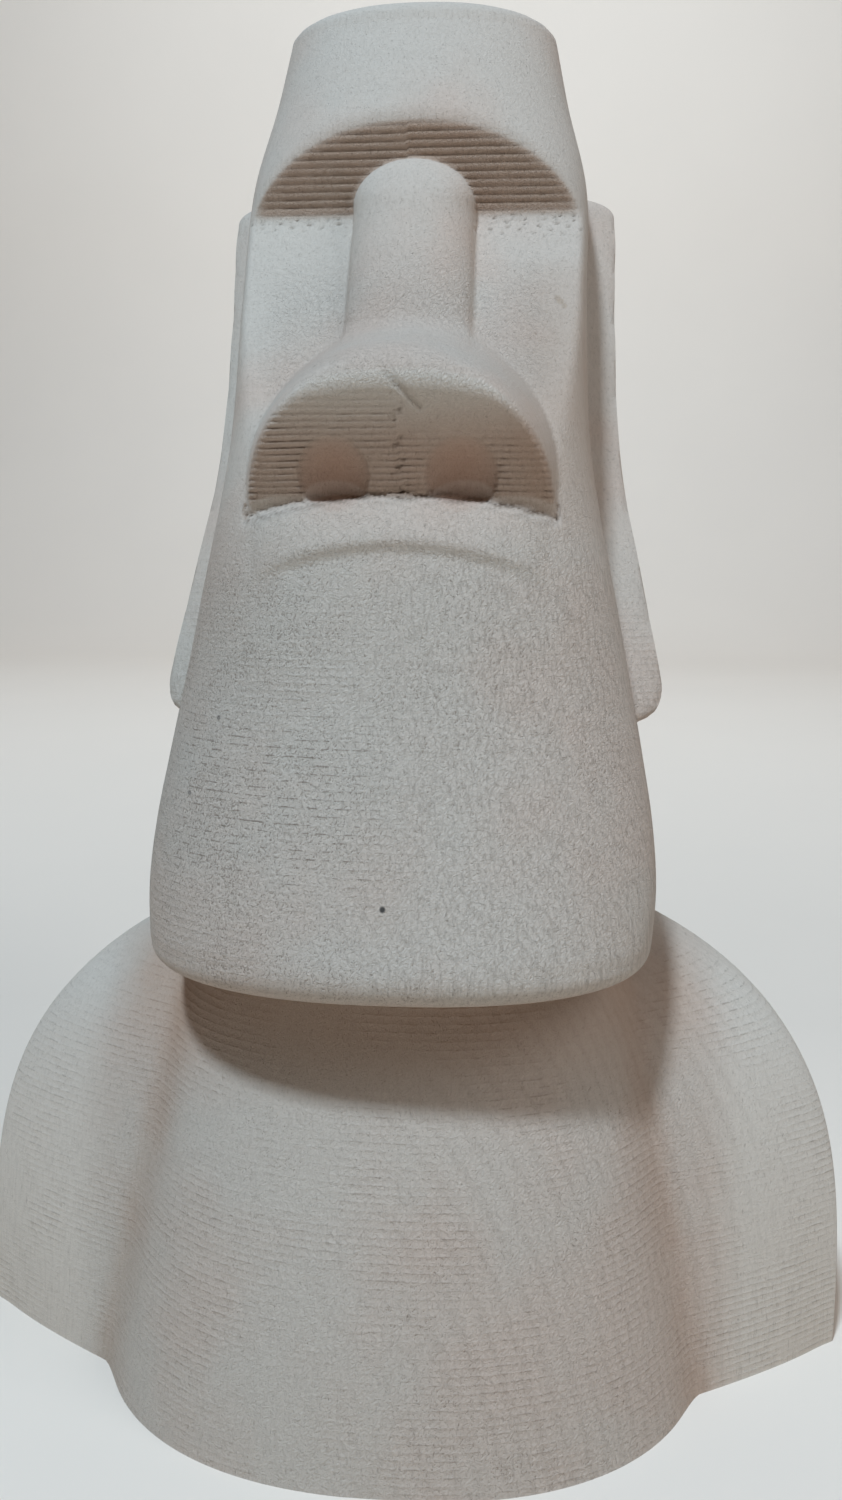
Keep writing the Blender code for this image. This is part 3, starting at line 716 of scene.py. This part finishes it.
class Wiring:
    """Short hand for placing nodes in one tree, from left to right."""

    def __init__(self, tree):
        self.tree = tree
        self.at = 0

    def node(self, kind, inputs=(), **settings):
        made = self.tree.nodes.new(kind)
        made.location = (self.at * 190, -(self.at % 5) * 160)
        self.at += 1
        for name, value in settings.items():
            setattr(made, name, value)
        for slot, value in dict(inputs).items():
            if isinstance(value, bpy.types.NodeSocket):
                self.tree.links.new(value, made.inputs[slot])
            else:
                made.inputs[slot].default_value = value
        return made

    def maths(self, operation, *values, clamp=False):
        made = self.node("ShaderNodeMath", dict(enumerate(values)), operation=operation, use_clamp=clamp)
        return made.outputs[0]

    def vectors(self, operation, *values):
        made = self.node("ShaderNodeVectorMath", dict(enumerate(values)), operation=operation)
        return made.outputs["Value" if operation in ("LENGTH", "DISTANCE") else "Vector"]

    def noise(self, vector, scale, detail=2.0, roughness=0.5):
        made = self.node("ShaderNodeTexNoise", {"Vector": vector, "Scale": scale, "Detail": detail,
                                                "Roughness": roughness})
        return made.outputs["Fac"]

    def stretch(self, vector, scale):
        return self.vectors("MULTIPLY", vector, scale)

    def step(self, value, low, high, start=0.0, end=1.0):
        made = self.node("ShaderNodeMapRange", {"Value": value, "From Min": low, "From Max": high,
                                                "To Min": start, "To Max": end},
                         interpolation_type="SMOOTHSTEP")
        return made.outputs["Result"]

    def blend(self, share, first, second):
        made = self.node("ShaderNodeMix", {0: share, 6: first, 7: second}, data_type="RGBA")
        return made.outputs[2]

    def times(self, first, *others):
        for other in others:
            first = self.maths("MULTIPLY", first, other)
        return first

    def region(self, axes, name):
        """Mask of one of the regions by place, 0 outside it and 1 inside."""
        sides = [self.step(axes[axis], start * MM, end * MM) for axis, start, end in REGIONS[name]]
        return self.times(*sides)

    def attribute(self, name):
        return self.node("ShaderNodeAttribute", attribute_name=name).outputs["Fac"]


def node_group(name, inputs, outputs):
    """An empty node group with float or vector inputs and float outputs."""
    group = bpy.data.node_groups.new(name, "ShaderNodeTree")
    for label, value in inputs.items():
        kind = "NodeSocketVector" if value is None else "NodeSocketFloat"
        socket = group.interface.new_socket(label, in_out="INPUT", socket_type=kind)
        if value is not None:
            socket.default_value = value
    for label in outputs:
        group.interface.new_socket(label, in_out="OUTPUT", socket_type="NodeSocketFloat")
    wiring = Wiring(group)
    return group, wiring, wiring.node("NodeGroupInput"), wiring.node("NodeGroupOutput")


def step_group():
    """Faint level steps of the cutter: a round hollow for each pass, worn away in patches, with shade
    painted as dark lines where the passes meet.
    """
    group, w, given, out = node_group("cutter steps", {"Place": None, "Pitch": 1.0, "Waver": 0.25},
                                      ("Height", "Shade Lines", "Strength"))
    place = given.outputs["Place"]
    apart = w.node("ShaderNodeSeparateXYZ", {0: place}).outputs
    sway = w.noise(w.stretch(place, SWAY_CELLS), 1.0, 2.0)
    level = w.maths("DIVIDE", apart[2], given.outputs["Pitch"])
    level = w.maths("MULTIPLY_ADD", sway, given.outputs["Waver"], level)
    part = w.maths("FRACT", level)
    fold = w.maths("MULTIPLY_ADD", part, 2.0, -1.0)
    height = w.maths("MULTIPLY", fold, fold)
    w.tree.links.new(height, out.inputs["Height"])
    patches = w.noise(place, 55.0, 3.0, 0.6)
    strength = w.step(patches, 0.36, 0.62)
    w.tree.links.new(strength, out.inputs["Strength"])
    broken = w.step(w.noise(w.stretch(place, BREAK_CELLS), 1.0, 2.0, 0.7), 0.47, 0.60)
    # dark lines where the passes meet, as painted shade, broken in patches
    w.tree.links.new(w.maths("MULTIPLY", w.step(height, 0.45, 0.95), broken), out.inputs["Shade Lines"])
    return group


def grain_group():
    """Growth rings round an axis behind the bust, and fine upright fibres."""
    group, w, given, out = node_group("wood grain", {"Place": None, "Ring Gap": 2.4, "Waver": 0.9},
                                      ("Rings", "Fibres", "Pores"))
    place = given.outputs["Place"]
    bend = w.noise(w.stretch(place, BEND_CELLS), 1.0, 2.0)
    moved = w.vectors("ADD", place, HEART_PLACE)
    apart = w.node("ShaderNodeSeparateXYZ", {0: moved}).outputs
    across_x = w.maths("MULTIPLY_ADD", apart[2], HEART_LEAN[0], apart[0])
    across_y = w.maths("MULTIPLY_ADD", apart[2], HEART_LEAN[1], apart[1])
    flat = w.node("ShaderNodeCombineXYZ", {0: across_x, 1: across_y, 2: 0.0}).outputs[0]
    away = w.maths("MULTIPLY", w.vectors("LENGTH", flat), 1000.0)
    ring = w.maths("MULTIPLY_ADD", bend, w.maths("MULTIPLY", given.outputs["Waver"], 4.0),
                   w.maths("DIVIDE", away, given.outputs["Ring Gap"]))
    rings = w.maths("MULTIPLY_ADD", w.maths("SINE", w.maths("MULTIPLY", ring, 2 * math.pi)), 0.5, 0.5)
    w.tree.links.new(w.maths("POWER", rings, 2.5), out.inputs["Rings"])
    fibres = w.noise(w.stretch(place, FIBRE_CELLS), 1.0, 3.0, 0.6)
    w.tree.links.new(fibres, out.inputs["Fibres"])
    pores = w.noise(w.stretch(place, PORE_CELLS), 1.0, 1.0)
    w.tree.links.new(w.step(pores, 0.66, 0.74), out.inputs["Pores"])
    return group


def fuzz_group():
    """Raised torn fibres: fine curled creases and dark specks that gather in patches."""
    group, w, given, out = node_group("raised fibres", {"Place": None, "Amount": 0.5},
                                      ("Height", "Specks"))
    place = given.outputs["Place"]
    amount = given.outputs["Amount"]
    bent = w.noise(w.stretch(place, CURL_CELLS), 1.0, 1.0)
    curl = w.maths("MULTIPLY", w.maths("SUBTRACT", bent, 0.5), CURL)
    moved = w.vectors("ADD", place, w.node("ShaderNodeCombineXYZ", {0: curl, 1: curl, 2: curl}).outputs[0])
    fine = w.noise(w.stretch(moved, FUZZ_CELLS), 1.0, 3.0, 0.65)
    patches = w.noise(place, 70.0, 3.0, 0.65)
    level = w.maths("MULTIPLY_ADD", patches, 0.30, w.maths("MULTIPLY_ADD", amount, 0.17, 0.11))
    specks = w.maths("SUBTRACT", level, fine)
    height = w.maths("MULTIPLY", fine, w.maths("MULTIPLY_ADD", amount, 0.85, 0.15))
    w.tree.links.new(height, out.inputs["Height"])
    w.tree.links.new(w.step(specks, 0.0, 0.10), out.inputs["Specks"])
    return group


def spot_group():
    """A soft round mark on the front, 1 in its middle and 0 outside its size."""
    group, w, given, out = node_group("spot", {"Place": None, "Middle": None, "Size": 1.0}, ("Mask",))
    off = w.vectors("SUBTRACT", given.outputs["Place"], given.outputs["Middle"])
    away = w.vectors("LENGTH", w.stretch(off, (1.0, 0.0, 1.0)))
    share = w.maths("DIVIDE", away, given.outputs["Size"])
    w.tree.links.new(w.step(share, 1.0, 0.4, 0.0, 1.0), out.inputs["Mask"])
    return group


def spotted(w, place, front, colour):
    """The colour with the small marks of SPOTS laid over it."""
    spot = spot_group()
    for middle, size, tone, share in SPOTS:
        mark = w.node("ShaderNodeGroup", node_tree=spot)
        w.tree.links.new(place, mark.inputs["Place"])
        mark.inputs["Middle"].default_value = middle
        mark.inputs["Size"].default_value = size
        colour = w.blend(w.times(mark.outputs["Mask"], front, share), colour, tone + (1.0,))
    return colour


def wood_with_painted_light_and_shade(finish):
    """Bare pale wood straight from the cutter, with shade painted under the brow, nose and chin, in the
    grooves and nostrils, and light painted just under the nose's tip.
    """
    material = bpy.data.materials.new("wood_with_painted_light_and_shade")
    material.use_nodes = True
    w = Wiring(material.node_tree)
    shader = material.node_tree.nodes["Principled BSDF"]
    place = w.node("ShaderNodeTexCoord").outputs["Object"]
    grain = w.node("ShaderNodeGroup", node_tree=grain_group())
    steps = w.node("ShaderNodeGroup", node_tree=step_group())
    fuzz = w.node("ShaderNodeGroup", node_tree=fuzz_group())
    for group in (grain, steps, fuzz):
        w.tree.links.new(place, group.inputs["Place"])
    grain.inputs["Ring Gap"].default_value = finish.ring_gap / MM
    steps.inputs["Pitch"].default_value = finish.step_pitch
    apart = w.node("ShaderNodeSeparateXYZ", {0: place}).outputs
    axes = {"x": apart[0], "y": apart[1], "z": apart[2], "aside": w.maths("ABSOLUTE", apart[0])}
    on = {name: w.region(axes, name) for name in REGIONS}
    mark = {name: w.attribute(name) for name in ("milled", "tip", "step", "hollow", "groove", "torn")}

    amount = w.maths("MULTIPLY_ADD", on["chin"], w.maths("MULTIPLY_ADD", on["left"], 0.35, 0.55), 0.22)
    amount = w.maths("MULTIPLY_ADD", on["low"], w.times(on["chest"], 0.42), amount)
    amount = w.maths("MULTIPLY_ADD", on["ball"], 0.5, amount)
    amount = w.maths("MULTIPLY_ADD", w.maths("ADD", mark["milled"], mark["tip"]), 0.4, amount)
    w.tree.links.new(amount, fuzz.inputs["Amount"])

    right_chin = w.times(on["chin"], on["right"])
    levels = w.times(on["levels"], w.maths("MULTIPLY_ADD", mark["milled"], -1.0, 1.0),
                     w.maths("MULTIPLY_ADD", right_chin, -0.8, 1.0))
    step_shade_lines = w.times(steps.outputs["Shade Lines"], levels,
                    w.maths("MAXIMUM", steps.outputs["Strength"], on["dashes"]),
                    w.maths("MULTIPLY_ADD", on["dashes"], 0.28, 0.37))
    ring_place = w.times(on["rings"], w.maths("MULTIPLY_ADD", on["ring end"], 1.2, -0.2))
    rings = w.times(grain.outputs["Rings"], w.maths("MULTIPLY_ADD", ring_place, 0.06, 0.02))
    fibres = grain.outputs["Fibres"]
    # Shade painted brown, in patches, along the groove where the chest meets each arm.
    groove_shade = w.times(mark["groove"], w.step(w.noise(place, 90.0, 3.0), 0.3, 0.7, 0.6, 1.0))

    pale, warm, dark, shade_and_tint_brown, hollow = (tuple(tone) + (1.0,) for tone in (
        finish.pale, finish.warm, finish.dark, finish.shade_and_tint_brown, finish.hollow))
    light = tuple(min(1.0, 1.18 * value) for value in finish.pale) + (1.0,)
    patches = w.step(w.noise(place, 28.0, 3.0, 0.6), 0.38, 0.68, 0.0, 0.8)
    colour = w.blend(w.maths("MULTIPLY_ADD", on["warm side"], 0.5, patches, clamp=True), pale, warm)
    for mask, share, tone in (
            (on["lower"], 0.22, light), (on["arms"], 0.85, light), (rings, 1.0, dark),
            (w.step(fibres, 0.40, 0.75), 0.12, dark), (grain.outputs["Pores"], 0.20, dark),
            (fuzz.outputs["Specks"], 0.55, dark),
            # shade painted as dark lines where the faint passes of the cutter meet
            (w.times(right_chin, w.step(fibres, 0.45, 0.62)), 0.16, dark), (step_shade_lines, 1.0, dark),
            # milled: brown shade painted on the undersides of the brow and the nose
            # step: shade painted dark along the grooves where two passes of the cutter meet
            # tip: light painted on the shaded underside just below the nose's tip and along the mouth
            # crease
            (mark["tip"], 0.9, light), (mark["milled"], 0.48, shade_and_tint_brown), (mark["step"], 0.62, dark),
            # brown shade painted along the groove between the chest and each arm
            # hollow: reddish shade painted in the nostrils
            (mark["hollow"], 0.30, hollow), (groove_shade, 0.34, shade_and_tint_brown), (mark["torn"], 0.65, dark),
            # cheek: a browner tint on the right of the nose
            # under: the chin's shadow on the chest, painted brown
            (on["under"], 0.40, shade_and_tint_brown), (on["cheek"], 0.24, shade_and_tint_brown),
            # a faint browner tint low on the front of the chest
            (w.times(on["low"], on["front"]), 0.07, shade_and_tint_brown)):
        colour = w.blend(w.times(mask, share), colour, tone)
    w.tree.links.new(spotted(w, place, on["front"], colour), shader.inputs["Base Color"])

    height = w.times(steps.outputs["Height"], steps.outputs["Strength"], finish.step_height / MM,
                     w.maths("MULTIPLY_ADD", levels, 0.85, 0.15))
    height = w.maths("MULTIPLY_ADD", fibres, 0.03, height)
    height = w.maths("MULTIPLY_ADD", grain.outputs["Pores"], -0.04, height)
    height = w.maths("MULTIPLY_ADD", fuzz.outputs["Height"], 0.37, height)
    bump = w.node("ShaderNodeBump", {"Height": height, "Strength": 1.0, "Distance": 1.0 * MM})
    w.tree.links.new(bump.outputs["Normal"], shader.inputs["Normal"])
    rough = w.step(fibres, 0.3, 0.8, 0.78, 0.92)
    w.tree.links.new(rough, shader.inputs["Roughness"])
    shader.inputs["Specular IOR Level"].default_value = 0.25
    return material


def sweep_paper(stage):
    """Matt pale paper of the studio sweep, with a very faint mottle."""
    material = bpy.data.materials.new("sweep_paper")
    material.use_nodes = True
    w = Wiring(material.node_tree)
    shader = material.node_tree.nodes["Principled BSDF"]
    place = w.node("ShaderNodeTexCoord").outputs["Object"]
    mottle = w.step(w.noise(place, 6.0, 3.0), 0.3, 0.7, 0.0, 1.0)
    pale = tuple(stage.floor) + (1.0,)
    shade = tuple(value * 0.985 for value in stage.floor) + (1.0,)
    w.tree.links.new(w.blend(mottle, pale, shade), shader.inputs["Base Color"])
    shader.inputs["Roughness"].default_value = 0.95
    shader.inputs["Specular IOR Level"].default_value = 0.1
    return material


def sweep_mesh():
    """Floor that turns up into a wall: a profile of level, quarter circle and upright, drawn across."""
    turn = np.linspace(0.0, math.pi / 2, 17)
    bend = SWEEP_BACK - SWEEP_BEND + SWEEP_BEND * np.sin(turn)
    along = np.concatenate(([-SWEEP_REACH], bend, [SWEEP_BACK]))
    up = np.concatenate(([0.0], SWEEP_BEND * (1.0 - np.cos(turn)), [SWEEP_HEIGHT]))
    across_x = np.array([-SWEEP_REACH, SWEEP_REACH])
    x, y = np.meshgrid(across_x, along, indexing="ij")
    z = np.broadcast_to(up, x.shape)
    points = np.stack((x, y, z), axis=2).reshape(-1, 3)
    first = np.arange(len(along) - 1)
    faces = np.stack((first, first + len(along), first + len(along) + 1, first + 1), axis=1)
    mesh = bpy.data.meshes.new("sweep")
    mesh.from_pydata(points.tolist(), [], faces.tolist())
    mesh.shade_smooth()
    return mesh


def soft_light(name, place, size, power, colour, target=(0.0, 0.0, 0.09)):
    """A square studio light that faces the target."""
    data = bpy.data.lights.new(name, "AREA")
    data.size = size
    data.energy = power
    data.color = colour
    lamp = bpy.data.objects.new(name, data)
    lamp.location = place
    aim = Vector(target) - Vector(place)
    lamp.rotation_euler = aim.to_track_quat("-Z", "Y").to_euler()
    bpy.context.scene.collection.objects.link(lamp)
    return lamp


def studio_camera():
    """The camera stands in front at the height of the chin and looks down a little."""
    turn = math.radians(CAMERA_YAW)
    dip = math.radians(CAMERA_PITCH)
    ahead = Vector((-math.sin(turn) * math.cos(dip), math.cos(turn) * math.cos(dip), -math.sin(dip)))
    right = Vector((math.cos(turn), math.sin(turn), 0.0))
    up = right.cross(ahead)
    data = bpy.data.cameras.new("studio camera")
    data.sensor_width = 36.0
    data.lens = CAMERA_LENS
    data.clip_start = 0.01
    camera = bpy.data.objects.new("studio camera", data)
    placed = Matrix((right, up, -ahead)).transposed().to_4x4()
    placed.translation = Vector(CAMERA_PLACE)
    camera.matrix_world = placed @ Matrix.Rotation(math.radians(CAMERA_ROLL), 4, "Z")
    bpy.context.scene.collection.objects.link(camera)
    bpy.context.scene.camera = camera


class MoaiCarving(bpy.types.PropertyGroup):
    """Sizes of the marks that the cutter left standing on the face."""
    brow_pitch: FloatProperty(name="Brow step", description="Height of one pass under the brow",
                              default=0.92 * MM, min=0.4 * MM, max=3 * MM, unit="LENGTH", precision=5)
    brow_groove: FloatProperty(name="Brow groove", description="Depth of the grooves under the brow",
                              default=0.14 * MM, min=0.0, max=1 * MM, unit="LENGTH", precision=5)
    nose_pitch: FloatProperty(name="Nose step", description="Height of one pass under the nose",
                              default=0.75 * MM, min=0.4 * MM, max=3 * MM, unit="LENGTH", precision=5)
    nose_groove: FloatProperty(name="Nose groove", description="Depth of the grooves under the nose",
                              default=0.24 * MM, min=0.0, max=1 * MM, unit="LENGTH", precision=5)
    chip_depth: FloatProperty(name="Chip depth", description="Depth of torn fibres and chips",
                              default=0.38 * MM, min=0.0, max=1 * MM, unit="LENGTH", precision=5)


class MoaiFinish(bpy.types.PropertyGroup):
    """Colours and fine texture of the bare wood, and the colours of the light and shade painted on it."""
    pale: FloatVectorProperty(name="Pale wood", description="Colour of the palest wood", subtype="COLOR",
                              size=3, min=0.0, max=1.0, default=(0.56, 0.49, 0.415))
    warm: FloatVectorProperty(name="Warm wood", description="Colour of the warmer patches", subtype="COLOR",
                              size=3, min=0.0, max=1.0, default=(0.57, 0.435, 0.35))
    # The dark fibre colour also paints the shade along the grooves of the cutter's steps.
    dark: FloatVectorProperty(name="Dark fibre", description="Colour of torn fibres and pores, and of painted shade in the cutter's grooves",
                              subtype="COLOR", size=3, min=0.0, max=1.0, default=(0.17, 0.125, 0.09))
    # Brown painted as shade under the brow, the nose and the chin and in the grooves beside the arms, and
    # as a plain tint beside the nose and low on the chest.
    shade_and_tint_brown: FloatVectorProperty(name="Brown shade and tint", description="Brown painted as shade, and as a tint in places",
                               subtype="COLOR", size=3, min=0.0, max=1.0, default=(0.34, 0.17, 0.085))
    # Reddish brown painted as shade in the nostril hollows.
    hollow: FloatVectorProperty(name="Nostril shade", description="Reddish colour inside the nostrils",
                                subtype="COLOR", size=3, min=0.0, max=1.0, default=(0.44, 0.20, 0.12))
    ring_gap: FloatProperty(name="Growth ring", description="Distance between two growth rings",
                            default=1.8 * MM, min=0.5 * MM, max=10 * MM, unit="LENGTH", precision=5)
    step_pitch: FloatProperty(name="Cutter step", description="Height of one faint pass of the cutter",
                              default=0.96 * MM, min=0.3 * MM, max=3 * MM, unit="LENGTH", precision=5)
    step_height: FloatProperty(name="Step height", description="Height of the faint ridges between passes",
                               default=0.05 * MM, min=0.0, max=0.5 * MM, unit="LENGTH", precision=5)


class MoaiStage(bpy.types.PropertyGroup):
    """Floor and lights of the small studio."""
    floor: FloatVectorProperty(name="Floor", description="Colour of the paper sweep", subtype="COLOR",
                               size=3, min=0.0, max=1.0, default=(0.86, 0.74, 0.63))
    key_power: FloatProperty(name="Key light", description="Power of the light from the upper left",
                             default=13.2, min=0.0, unit="POWER")
    fill_power: FloatProperty(name="Fill light", description="Power of the wide light in front",
                              default=0.22, min=0.0, unit="POWER")
    side_power: FloatProperty(name="Side light", description="Power of the soft light from the upper right",
                              default=1.5, min=0.0, unit="POWER")
    wall_power: FloatProperty(name="Wall light", description="Power of the light on the paper behind",
                              default=14.0, min=0.0, unit="POWER")
    sky: FloatProperty(name="Room light", description="Strength of the light from all round",
                       default=0.03, min=0.0)


class MOAI_OT_bust(bpy.types.Operator):
    """Make the bust as one fine surface of bare wood in place of the plain solid"""
    bl_idname = "moai.bust"
    bl_label = "Make the bust"

    def execute(self, context):
        bust = bpy.data.objects.new("moai_wood", bust_mesh(context.scene.moai_carving))
        bust.data.materials.append(wood_with_painted_light_and_shade(context.scene.moai_finish))
        context.scene.collection.objects.link(bust)
        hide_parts("moai_bust")
        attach(bust, "root")
        return {"FINISHED"}


class MOAI_OT_stage(bpy.types.Operator):
    """Lay the pale floor and set up the soft lights and the camera"""
    bl_idname = "moai.stage"
    bl_label = "Set up the studio"

    def execute(self, context):
        stage = context.scene.moai_stage
        floor = bpy.data.objects.new("sweep", sweep_mesh())
        floor.data.materials.append(sweep_paper(stage))
        context.scene.collection.objects.link(floor)
        soft_light("key", KEY_PLACE, KEY_SIZE, stage.key_power, KEY_COLOUR)
        soft_light("fill", FILL_PLACE, FILL_SIZE, stage.fill_power, FILL_COLOUR)
        soft_light("side", SIDE_PLACE, SIDE_SIZE, stage.side_power, SIDE_COLOUR)
        soft_light("wall", WALL_PLACE, WALL_SIZE, stage.wall_power, WALL_COLOUR, WALL_TARGET)
        world = bpy.data.worlds.new("room")
        world.use_nodes = True
        background = world.node_tree.nodes["Background"]
        background.inputs["Color"].default_value = ROOM_COLOUR
        background.inputs["Strength"].default_value = stage.sky
        context.scene.world = world
        context.scene.view_settings.view_transform = "Standard"
        studio_camera()
        return {"FINISHED"}


class MOAI_PT_panel(bpy.types.Panel):
    """Sizes, colours and steps of the moai bust"""
    bl_idname = "MOAI_PT_panel"
    bl_label = "Moai bust"
    bl_space_type = "VIEW_3D"
    bl_region_type = "UI"
    bl_category = "Moai bust"

    def draw(self, context):
        layout = self.layout
        for group, operator in (("moai_carving", "moai.bust"), ("moai_finish", None),
                                ("moai_stage", "moai.stage")):
            settings = getattr(context.scene, group)
            for name in type(settings).__annotations__:
                layout.prop(settings, name)
            if operator:
                layout.operator(operator)


CLASSES = (MoaiCarving, MoaiFinish, MoaiStage, MOAI_OT_bust, MOAI_OT_stage, MOAI_PT_panel)


def register():
    for each in CLASSES:
        bpy.utils.register_class(each)
    bpy.types.Scene.moai_carving = PointerProperty(type=MoaiCarving)
    bpy.types.Scene.moai_finish = PointerProperty(type=MoaiFinish)
    bpy.types.Scene.moai_stage = PointerProperty(type=MoaiStage)


def unregister():
    del bpy.types.Scene.moai_stage
    del bpy.types.Scene.moai_finish
    del bpy.types.Scene.moai_carving
    for each in reversed(CLASSES):
        bpy.utils.unregister_class(each)


def main():
    register()
    bpy.ops.moai.bust()
    bpy.ops.moai.stage()


if __name__ == "__main__":
    main()
